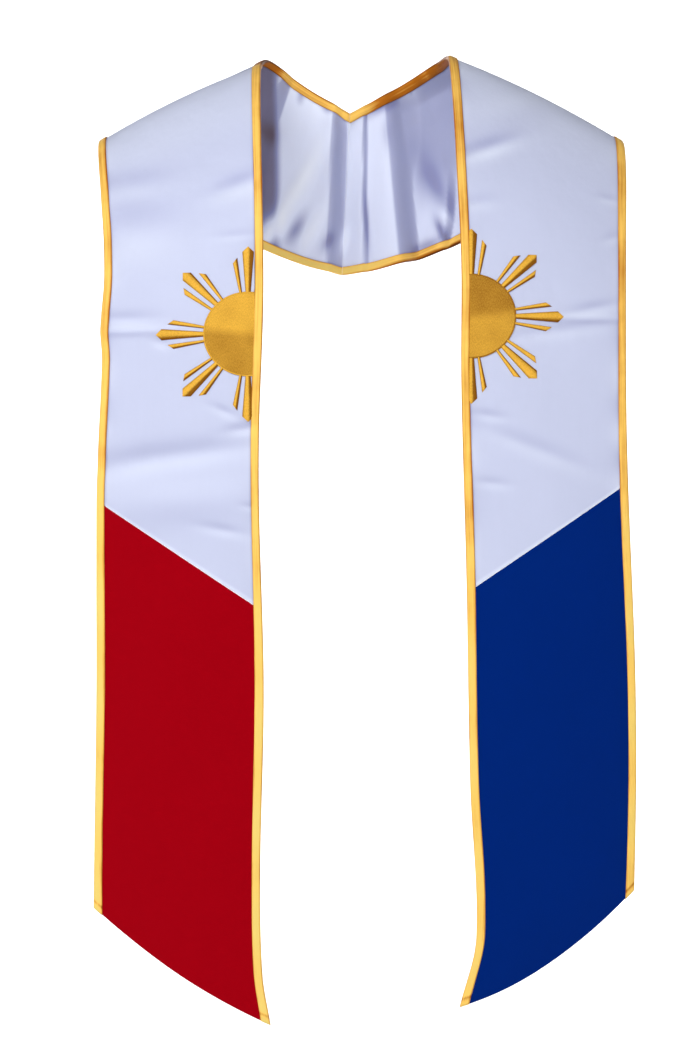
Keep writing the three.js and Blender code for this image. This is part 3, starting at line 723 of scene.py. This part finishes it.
class StoleColours(bpy.types.PropertyGroup):
    """Colours that a user would change."""

    white: pick_colour("White satin", "Cool white of the upper cloth", (0.8, 0.85, 1.0))
    white_shadow: pick_colour(
        "White satin, shaded", "The white cloth on the far flanks of its folds", (0.27, 0.285, 0.49)
    )
    red: pick_colour("Red satin", "Red of the right end", (0.32, 0.0003, 0.005))
    blue: pick_colour("Blue satin", "Blue of the left end", (0.0005, 0.0165, 0.155))
    tape: pick_colour("Gold tape", "Lit colour of the binding", (0.95, 0.58, 0.12))
    # The dull tape colour serves both its random duller patches and its painted shade
    tape_shadow: pick_colour("Gold tape, dull", "Colour of the binding's duller patches", (0.45, 0.13, 0.006))
    thread: pick_colour("Gold thread", "Lit colour of the embroidery", (0.83, 0.46, 0.055))
    # The dull thread colour serves both its random duller stitches and its painted shade
    thread_shadow: pick_colour(
        "Gold thread, dull", "Colour of the embroidery's duller stitches", (0.22, 0.075, 0.003)
    )
    floor: pick_colour("Floor", "Pale floor and backdrop", (0.82, 0.82, 0.82))


def cloth_piece(name, half, sizes, start, end):
    """A cloth between two places: closed rings of its section along the strip, rounded at both ends."""
    inner = half.even_places(start, end, sizes.cloth_grid)
    run = half.run_of(inner)
    steps = np.array([0.2, 0.5, 0.9]) * MM
    ease = np.interp(steps, run, inner)
    ease_end = np.interp(run[-1] - steps[::-1], run, inner)
    places = np.concatenate([inner[:1], ease, inner[1:-1], ease_end, inner[-1:]])[:, None]
    edge = (sizes.binding_wall + BINDING_SLACK) / half.width
    w = np.linspace(edge, 1 - edge, round(half.width / sizes.cloth_grid) + 1)
    ring_w = np.concatenate([w, w[::-1]])
    lift = np.repeat([-0.5, 0.5], len(w))
    run = half.run_of(places[:, 0])[:, None]
    from_end = np.minimum(run, run[-1] - run)
    round_off = np.sqrt(np.clip(1 - (1 - from_end / CLOTH_EDGE_ROUND) ** 2, 0.02, 1))
    round_off = np.where(from_end < CLOTH_EDGE_ROUND, round_off, 1)
    rows = half.lifted(places, ring_w, lift * round_off * sizes.cloth_thickness)
    grain = np.stack(np.broadcast_arrays(ring_w * half.width, run), axis=-1)
    hollow = half.hollow(places, ring_w, 1.0 * (lift < 0))
    faces = sweep(rows, flip=half.sign > 0)
    return mesh_object(name, rows.reshape(-1, 3), faces, grain.reshape(-1, 2), hollow.ravel())


def cut_of(half, start, end):
    """The flat cut of a stretch of the strip: its width, its length and its area."""
    places = half.even_places(start, end, 4 * MM)
    w = np.linspace(0, 1, 41)
    sheet = half.point(places[:, None], w[None, :])
    a = sheet[1:, :-1] - sheet[:-1, :-1]
    b = sheet[:-1, 1:] - sheet[:-1, :-1]
    area = float(np.linalg.norm(np.cross(a, b), axis=-1).sum())
    inner = half.run_of(places, 0.0)[-1]
    outer = half.run_of(places, 1.0)[-1]
    width = float(np.linalg.norm(np.diff(sheet, axis=1), axis=-1).sum(axis=1).max())
    return (width, float(max(inner, outer))), area


class STOLE_OT_cloth(bpy.types.Operator):
    """Make the white, red and blue cloth"""

    bl_idname = "stole.cloth"
    bl_label = "Cloth"

    def execute(self, context):
        sizes, colours = context.scene.stole_sizes, context.scene.stole_colours
        white = satin("white_satin", colours.white, colours.white_shadow, **WHITE_FINISH)
        step = SEAM_GAP / DROPS["inner"][0]
        for side, dye in (("right", "red"), ("left", "blue")):
            half = Half(side, sizes)
            colour = getattr(colours, dye)
            # The dyed satin's painted shade is a slightly darker copy of its colour
            dyed = satin(dye + "_satin", colour, [DULL_AND_SHADE * part for part in colour], **DYED_FINISH)
            self.cloth(half, "white", white, (-1, 1 - step), (-1, 1), "draped")
            self.cloth(half, dye, dyed, (1 + step, 2), (1, 2), "hung")
        return {"FINISHED"}

    def cloth(self, half, colour, material, ends, cut, held):
        piece = cloth_piece(f"{colour}_satin_{half.side}", half, half.sizes, *ends)
        finish_piece(piece, f"{colour}_cloth_{half.side}", material)
        flat, area = cut_of(half, *cut)


def tape_profile(sizes, share):
    """The folded tape's section as (share of the width, height), from lip to fold to lip."""
    inside = sizes.cloth_thickness / 2 + BINDING_CLEARANCE
    outside = inside + sizes.binding_wall
    reach = sizes.binding_width
    fold = 0.28 * reach
    crown = [
        (reach, inside),
        (reach + 0.05 * MM, inside + 0.45 * sizes.binding_wall),
        (reach - 0.35 * MM, outside * 0.97),
        (reach - 1.0 * MM, outside),
        (reach * 0.66, outside * 1.04),
        (reach * 0.45, outside * 1.06),
        (fold, outside * 1.02),
    ]
    for turn in np.linspace(0, QUARTER, 6)[1:-1]:
        crown.append((fold * (1 - math.sin(turn)), outside * 1.02 * math.cos(turn) ** 0.8))
    back = [(x, -height) for x, height in reversed(crown)]
    lining = [(reach - 0.3 * MM, -inside), (sizes.binding_wall, -inside * 0.9)]
    lining += [(x, -height) for x, height in reversed(lining)]
    ring = crown + [(0.0, 0.0)] + back + lining
    return np.array([share(x) for x, _ in ring]), np.array([height for _, height in ring])


class STOLE_OT_bindings(bpy.types.Operator):
    """Fold the gold tape round both long edges of each half"""

    bl_idname = "stole.bindings"
    bl_label = "Bindings"

    def execute(self, context):
        sizes, colours = context.scene.stole_sizes, context.scene.stole_colours
        material = tape_satin(colours)
        for side in SIDES:
            half = Half(side, sizes)
            for edge in ("inner", "outer"):
                self.binding(half, edge, sizes, material)
        return {"FINISHED"}

    def binding(self, half, edge, sizes, material):
        def share(x):
            return x / half.width if edge == "inner" else 1 - x / half.width

        ring_w, heights = tape_profile(sizes, share)
        places = half.even_places(-1, 2, TAPE_GRID)
        run = half.run_of(places, share(0))
        phase = half.sign + (0 if edge == "inner" else 2.3)
        swell = 1 + 0.05 * np.sin(run / (23 * MM) + phase) + 0.04 * np.sin(run / (7.5 * MM) + 2 * phase)
        drift = 0.25 * MM * np.sin(run / (47 * MM) + phase) / half.width
        inward = np.abs(ring_w - share(0)) * half.width / sizes.binding_width
        w = np.clip(ring_w[None, :] + drift[:, None] * inward[None, :], 0, 1)
        rows = half.lifted(places[:, None], w, heights[None, :] * swell[:, None])
        sides = np.abs(np.diff(ring_w)) * half.width + np.abs(np.diff(heights))
        around = np.concatenate([[0], np.cumsum(sides)])
        grain = np.stack(np.broadcast_arrays(around[None, :], run[:, None]), axis=-1)
        flip = (half.sign > 0) == (edge == "inner")
        total, count = rows.shape[0] * rows.shape[1], rows.shape[1]
        first, last = list(range(count)), list(range(total - count, total))
        ends = [first, last[::-1]] if flip else [first[::-1], last]
        faces = sweep(rows, caps=False, flip=flip).tolist() + ends
        hollow = self.shade(half, edge, places, run, inward, phase)
        name = f"{edge}_tape_{half.side}"
        piece = mesh_object(name, rows.reshape(-1, 3), faces, grain.reshape(-1, 2), hollow.ravel())
        finish_piece(piece, f"{edge}_binding_{half.side}", material)

    def shade(self, half, edge, places, run, inward, phase):
        """Painted shade of the tape: darker behind the neck, at its rims and under the left hem's fold, with
        a painted crease shadow near each lower end and painted light along the back hem and the lower ends.
        """
        facts = half.facts
        left_outer = edge == "outer" and half.sign > 0
        shade = facts["tape_shade"] + 0.1 * np.sin(run / (13 * MM) + phase)
        shade = shade * (places > -0.1)
        if edge == "inner":
            behind = smooth_step(0.02, 0.1, -places) * smooth_step(0.02, 0.1, 1 + places)
            behind = behind * (1 - 0.3 * smooth_step(0.38, 0.5, 1 + places))
            behind = behind * (0.88 + 0.12 * np.sin(run / (5 * MM)))
            turned = smooth_step(-0.64, -0.46, places) * smooth_step(0.01, -0.05, places)
            shade = np.maximum.reduce([shade, facts["neckline_shade"] * behind, TURNED_TAPE_SHADE * turned])
        else:
            shade = np.maximum(shade, 0) - HEM_LIGHT * (places < -0.2)
        low = left_outer * smooth_step(-0.1, -0.3, places) * smooth_step(-1, -0.8, places)
        shade = shade + HEM_SHADE * low - LOWER_TAPE_LIGHT * smooth_step(0.7, 1.3, places)
        shade = shade + END_CREASE_SHADE * np.exp(-(((run[-1] - run - 6 * MM) / (1.3 * MM)) ** 2))
        from_right = 1 - inward if (half.sign > 0) == (edge == "inner") else inward
        rim = 0.75 * smooth_step(0.22, 0.02, from_right) + 0.5 * smooth_step(0.16, 0.02, 1 - from_right)
        under = HEM_FOLD_SHADE * low[:, None] * smooth_step(0.42, 0.12, inward)[None, :]
        return shade[:, None] + rim[None, :] + under


class Patch:
    """Collects raised patches of stitches that lie on a cloth, each a closed body of its own."""

    def __init__(self, cloth):
        points = [v.co.copy() for v in cloth.data.vertices]
        polygons = [tuple(p.vertices) for p in cloth.data.polygons]
        self.tree = BVHTree.FromPolygons(points, polygons)
        self.points, self.faces, self.grain, self.hollow = [], [], [], []

    def add(self, x, z, heights, across, along, shade, flip):
        """x, z and heights are grids; the patch is laid on the cloth along +Y and closed beneath."""
        top, low = [], []
        for px, pz, height in zip(x.ravel(), z.ravel(), heights.ravel()):
            spot, normal, _, _ = self.tree.ray_cast(Vector((px, -1.0, pz)), Vector((0, 1, 0)))
            if spot is None:
                raise ValueError("a stitch lies beside the cloth")
            if normal.y > 0:
                normal.negate()
            top.append(spot + normal * height)
            low.append(spot - normal * STITCH_ROOT)
        base = len(self.points)
        self.points += top + low
        self.grain += list(zip(across.ravel(), along.ravel())) * 2
        self.hollow += np.broadcast_to(shade, x.shape).ravel().tolist() * 2
        grid = np.arange(x.size).reshape(x.shape)
        corners = [grid[:-1, :-1], grid[:-1, 1:], grid[1:, 1:], grid[1:, :-1]]
        upper = np.stack(corners, axis=-1).reshape(-1, 4)
        under = upper[:, ::-1] + x.size
        rim = np.concatenate([grid[0], grid[1:, -1], grid[-1, -2::-1], grid[-2:0:-1, 0]])
        nxt = np.roll(rim, -1)
        skirt = np.stack([nxt, rim, rim + x.size, nxt + x.size], axis=-1)
        quads = np.concatenate([upper, under, skirt]) + base
        self.faces += (quads[:, ::-1] if flip else quads).tolist()


def every_second(threads):
    """1 at every second thread, which stands up, and 0 between them."""
    return (np.arange(len(threads)) % 2.0)[:, None]


class STOLE_OT_suns(bpy.types.Operator):
    """Embroider half a sun on each front"""

    bl_idname = "stole.suns"
    bl_label = "Half suns"

    def execute(self, context):
        sizes, colours = context.scene.stole_sizes, context.scene.stole_colours
        material = thread_gold(colours)
        for side in SIDES:
            self.sun(Half(side, sizes), sizes, material)
        return {"FINISHED"}

    def sun(self, half, sizes, material):
        radius = sizes.sun_radius
        hang, rise = half.facts["hang"], half.facts["rise"]
        centre_z = -SUN_DROP - hang
        fall = SUN_DROP + hang + rise
        tip_fall = DROPS["inner"][1] + hang + rise
        edge = half.neck + half.width * float(sway_at(SWAY[half.side]["inner"], fall / tip_fall))
        inset = sizes.binding_width + half.facts["sun_inset"]
        centre_x = half.sign * (edge + inset)
        patch = Patch(bpy.data.objects["white_satin_" + half.side])
        cut = -half.facts["sun_inset"] - UNDER_LIP

        def lay(u, v, heights, across, along, shade, flip=False):
            x = centre_x + half.sign * u
            patch.add(x, centre_z + v, heights, across, along, shade, flip != (half.sign < 0))

        self.disc(lay, radius, cut, sizes, half.facts["disc_shades"], half.facts["border_shade"])
        for k in range(-2, 3):
            for form, lean in ((MIDDLE_RAY, 0), (SIDE_RAY, 1), (SIDE_RAY, -1)):
                turn = FULL_TURN * k / SUN_CLUSTERS + lean * CLUSTER_SPREAD
                self.ray(lay, form, turn, lean, radius, cut, sizes, half.sign)
        points = np.array([tuple(p) for p in patch.points])
        grain, hollow = np.array(patch.grain), np.array(patch.hollow)
        piece = mesh_object("sun_embroidery_" + half.side, points, patch.faces, grain, hollow)
        finish_piece(piece, "half_sun_" + half.side, material)

    def disc(self, lay, radius, cut, sizes, shades, border_shade):
        """Filling stitches side by side, and a narrow border of satin stitch round the arc."""
        pitch = sizes.thread_pitch
        columns = 2 * round((radius * SUN_STRETCH - cut) / pitch)
        u = np.linspace(cut, radius * SUN_STRETCH * 0.985, columns + 1)
        t = np.linspace(-1, 1, 81)
        reach = radius * np.sqrt(np.maximum(1 - (u / (radius * SUN_STRETCH)) ** 2, 0))
        uu, tt = np.meshgrid(u, t, indexing="ij")
        vv = tt * reach[:, None]
        ridge = every_second(u)
        stagger = (np.arange(columns + 1) // 2 * 0.37) % 1
        dip = np.abs(np.sin(math.pi * (vv / (4 * MM) + stagger[:, None]))) ** 0.35
        height = sizes.sun_raise * (0.62 + 0.16 * ridge * dip + 0.02 * np.sin(vv / (3 * MM) + uu / (2 * MM)))
        # Painted shade: one half of the disc darker than the other
        shade = mix(shades[0], shades[1], smooth_step(-0.15 * radius, 0.15 * radius, vv - 0.1 * uu))
        lay(uu, vv, height, uu, vv, shade)
        arc = np.linspace(-1.0, 1.0, 2 * round(math.pi * radius / pitch) + 1)
        limit = math.acos(max(cut / (radius * SUN_STRETCH), -1))
        angle = arc * min(limit, QUARTER + 0.12)
        across = np.linspace(-0.5, 0.5, 7)
        aa, cc = np.meshgrid(angle, across, indexing="ij")
        ring = radius - SUN_BORDER * 0.5 + cc * SUN_BORDER
        ridge = every_second(arc)
        height = sizes.sun_raise * (0.35 + 0.6 * np.sqrt(1 - (2 * cc * 0.96) ** 2) + 0.14 * ridge)
        u = np.maximum(ring * np.cos(aa) * SUN_STRETCH, cut)
        # Painted shade on the border, darker towards its edges
        shade = border_shade + 0.5 * smooth_step(0.0, 0.5, np.abs(cc))
        lay(u, ring * np.sin(aa), height, cc * SUN_BORDER, aa * radius, shade, flip=True)

    def ray(self, lay, form, turn, lean, radius, cut, sizes, sign):
        """Satin stitches across a ray that widens outward. A side ray ends in a slant that faces out."""
        root, reach = RAY_ROOT * radius, form["reach"] * radius
        root_half, end_half = form["root_half"] * radius, form["end_half"] * radius
        count = 2 * round((reach - root) / sizes.thread_pitch)
        s = np.linspace(0, 1, count + 1)
        c = np.linspace(-1, 1, 11)
        ss, cc = np.meshgrid(s, c, indexing="ij")
        slant = end_half * (np.abs(cc) if lean == 0 else 1 + lean * cc)
        half_width = mix(root_half, end_half, s)[:, None]
        length = mix(root, reach - slant, ss)
        side = cc * half_width
        ridge = every_second(s)
        crown = np.sqrt(1 - (0.97 * cc) ** 2)
        ends = np.clip(np.minimum(s, 1 - s) * 25, 0.35, 1)[:, None]
        height = sizes.sun_raise * (0.15 + 0.95 * crown * ends + 0.13 * ridge)
        u = (length * math.cos(turn) - side * math.sin(turn)) * SUN_STRETCH
        v = length * math.sin(turn) + side * math.cos(turn)
        # Painted shade: darker along both edges of the ray and on its side turned from the light
        far_side = cc * (-0.8 * sign * math.sin(turn) - 0.45 * math.cos(turn))
        shade = 0.1 + 0.5 * smooth_step(0.6, 0.95, np.abs(cc)) + smooth_step(0.0, 0.4, far_side)
        lay(np.maximum(u, cut), v, height, side, length, shade, flip=True)


class STOLE_OT_stage(bpy.types.Operator):
    """Set up the pale floor and backdrop, the studio lights and the camera"""

    bl_idname = "stole.stage"
    bl_label = "Stage"

    def execute(self, context):
        scene = context.scene
        scene.view_settings.view_transform = "Standard"
        self.backdrop(scene.stole_colours)
        for name, facts in LIGHTS.items():
            self.light(name, *facts)
        world = bpy.data.worlds.new("studio")
        world.use_nodes = True
        air = world.node_tree.nodes["Background"]
        air.inputs["Color"].default_value = AIR_COLOUR
        air.inputs["Strength"].default_value = AIR_STRENGTH
        scene.world = world
        self.camera(scene)
        return {"FINISHED"}

    def backdrop(self, colours):
        """A round floor that curves up into a low wall all the way round."""
        profile = [(radius, FLOOR_HEIGHT) for radius in FLOOR_RADII]
        for turn in np.linspace(0, QUARTER, 13)[1:]:
            radius = FLOOR_RADII[-1] + COVE_BEND * math.sin(turn)
            profile.append((radius, FLOOR_HEIGHT + COVE_BEND * (1 - math.cos(turn))))
        profile.append((FLOOR_RADII[-1] + COVE_BEND, FLOOR_HEIGHT + COVE_BEND + COVE_WALL))
        radii, heights = np.array(profile).T[:, :, None]
        turns = FULL_TURN * np.arange(COVE_SIDES) / COVE_SIDES
        rings = [radii * np.cos(turns), radii * np.sin(turns), heights + 0 * turns]
        rings = np.stack(rings, axis=-1)
        faces = [list(range(COVE_SIDES))] + sweep(rings, caps=False, flip=True).tolist()
        cove = mesh_object("studio_cove", rings.reshape(-1, 3), faces)
        finish = Finish("pale_floor")
        speck = finish.noise(finish.place(), 6.0, 2.0)
        tint = finish.tint(speck, rgba(colours.floor, [0.985] * 3), rgba(colours.floor))
        cove.data.materials.append(finish.done(tint, 0.9, [], **{"Specular IOR Level": 0.1}))

    def light(self, name, place, target, size, power):
        lamp = bpy.data.lights.new(name, "AREA")
        lamp.shape = "RECTANGLE"
        lamp.size, lamp.size_y = size
        lamp.energy = power
        holder = bpy.data.objects.new(name, lamp)
        holder.location = place
        aim = Vector(target) - Vector(place)
        holder.rotation_euler = aim.to_track_quat("-Z", "Y").to_euler()
        holder.visible_camera = False
        bpy.context.scene.collection.objects.link(holder)

    def camera(self, scene):
        lens = bpy.data.cameras.new("camera")
        lens.sensor_fit = "VERTICAL"
        lens.sensor_height = SENSOR_HEIGHT_MM
        lens.lens = CAMERA_LENS_PX / PHOTO_HEIGHT_PX * SENSOR_HEIGHT_MM
        holder = bpy.data.objects.new("camera", lens)
        holder.location = CAMERA_PLACE
        holder.rotation_euler = (QUARTER, 0, 0)
        scene.collection.objects.link(holder)
        scene.camera = holder


class STOLE_PT_panel(bpy.types.Panel):
    """Shows the stole's sizes and colours and the buttons that build it"""

    bl_idname = "STOLE_PT_panel"
    bl_label = "Graduation stole"
    bl_space_type = "VIEW_3D"
    bl_region_type = "UI"
    bl_category = "Stole"

    def draw(self, context):
        layout = self.layout
        for group in (context.scene.stole_sizes, context.scene.stole_colours):
            box = layout.box()
            for key in group.__annotations__:
                box.prop(group, key)
        for operator in OPERATORS:
            layout.operator(operator.bl_idname)


OPERATORS = (STOLE_OT_stage, STOLE_OT_cloth, STOLE_OT_bindings, STOLE_OT_suns)
CLASSES = (StoleSizes, StoleColours, *OPERATORS, STOLE_PT_panel)


def register():
    for cls in CLASSES:
        bpy.utils.register_class(cls)
    bpy.types.Scene.stole_sizes = PointerProperty(type=StoleSizes)
    bpy.types.Scene.stole_colours = PointerProperty(type=StoleColours)


def unregister():
    del bpy.types.Scene.stole_colours
    del bpy.types.Scene.stole_sizes
    for cls in reversed(CLASSES):
        bpy.utils.unregister_class(cls)


def main():
    register()
    bpy.ops.stole.stage()
    bpy.ops.stole.cloth()
    bpy.ops.stole.bindings()
    bpy.ops.stole.suns()


if __name__ == "__main__":
    main()
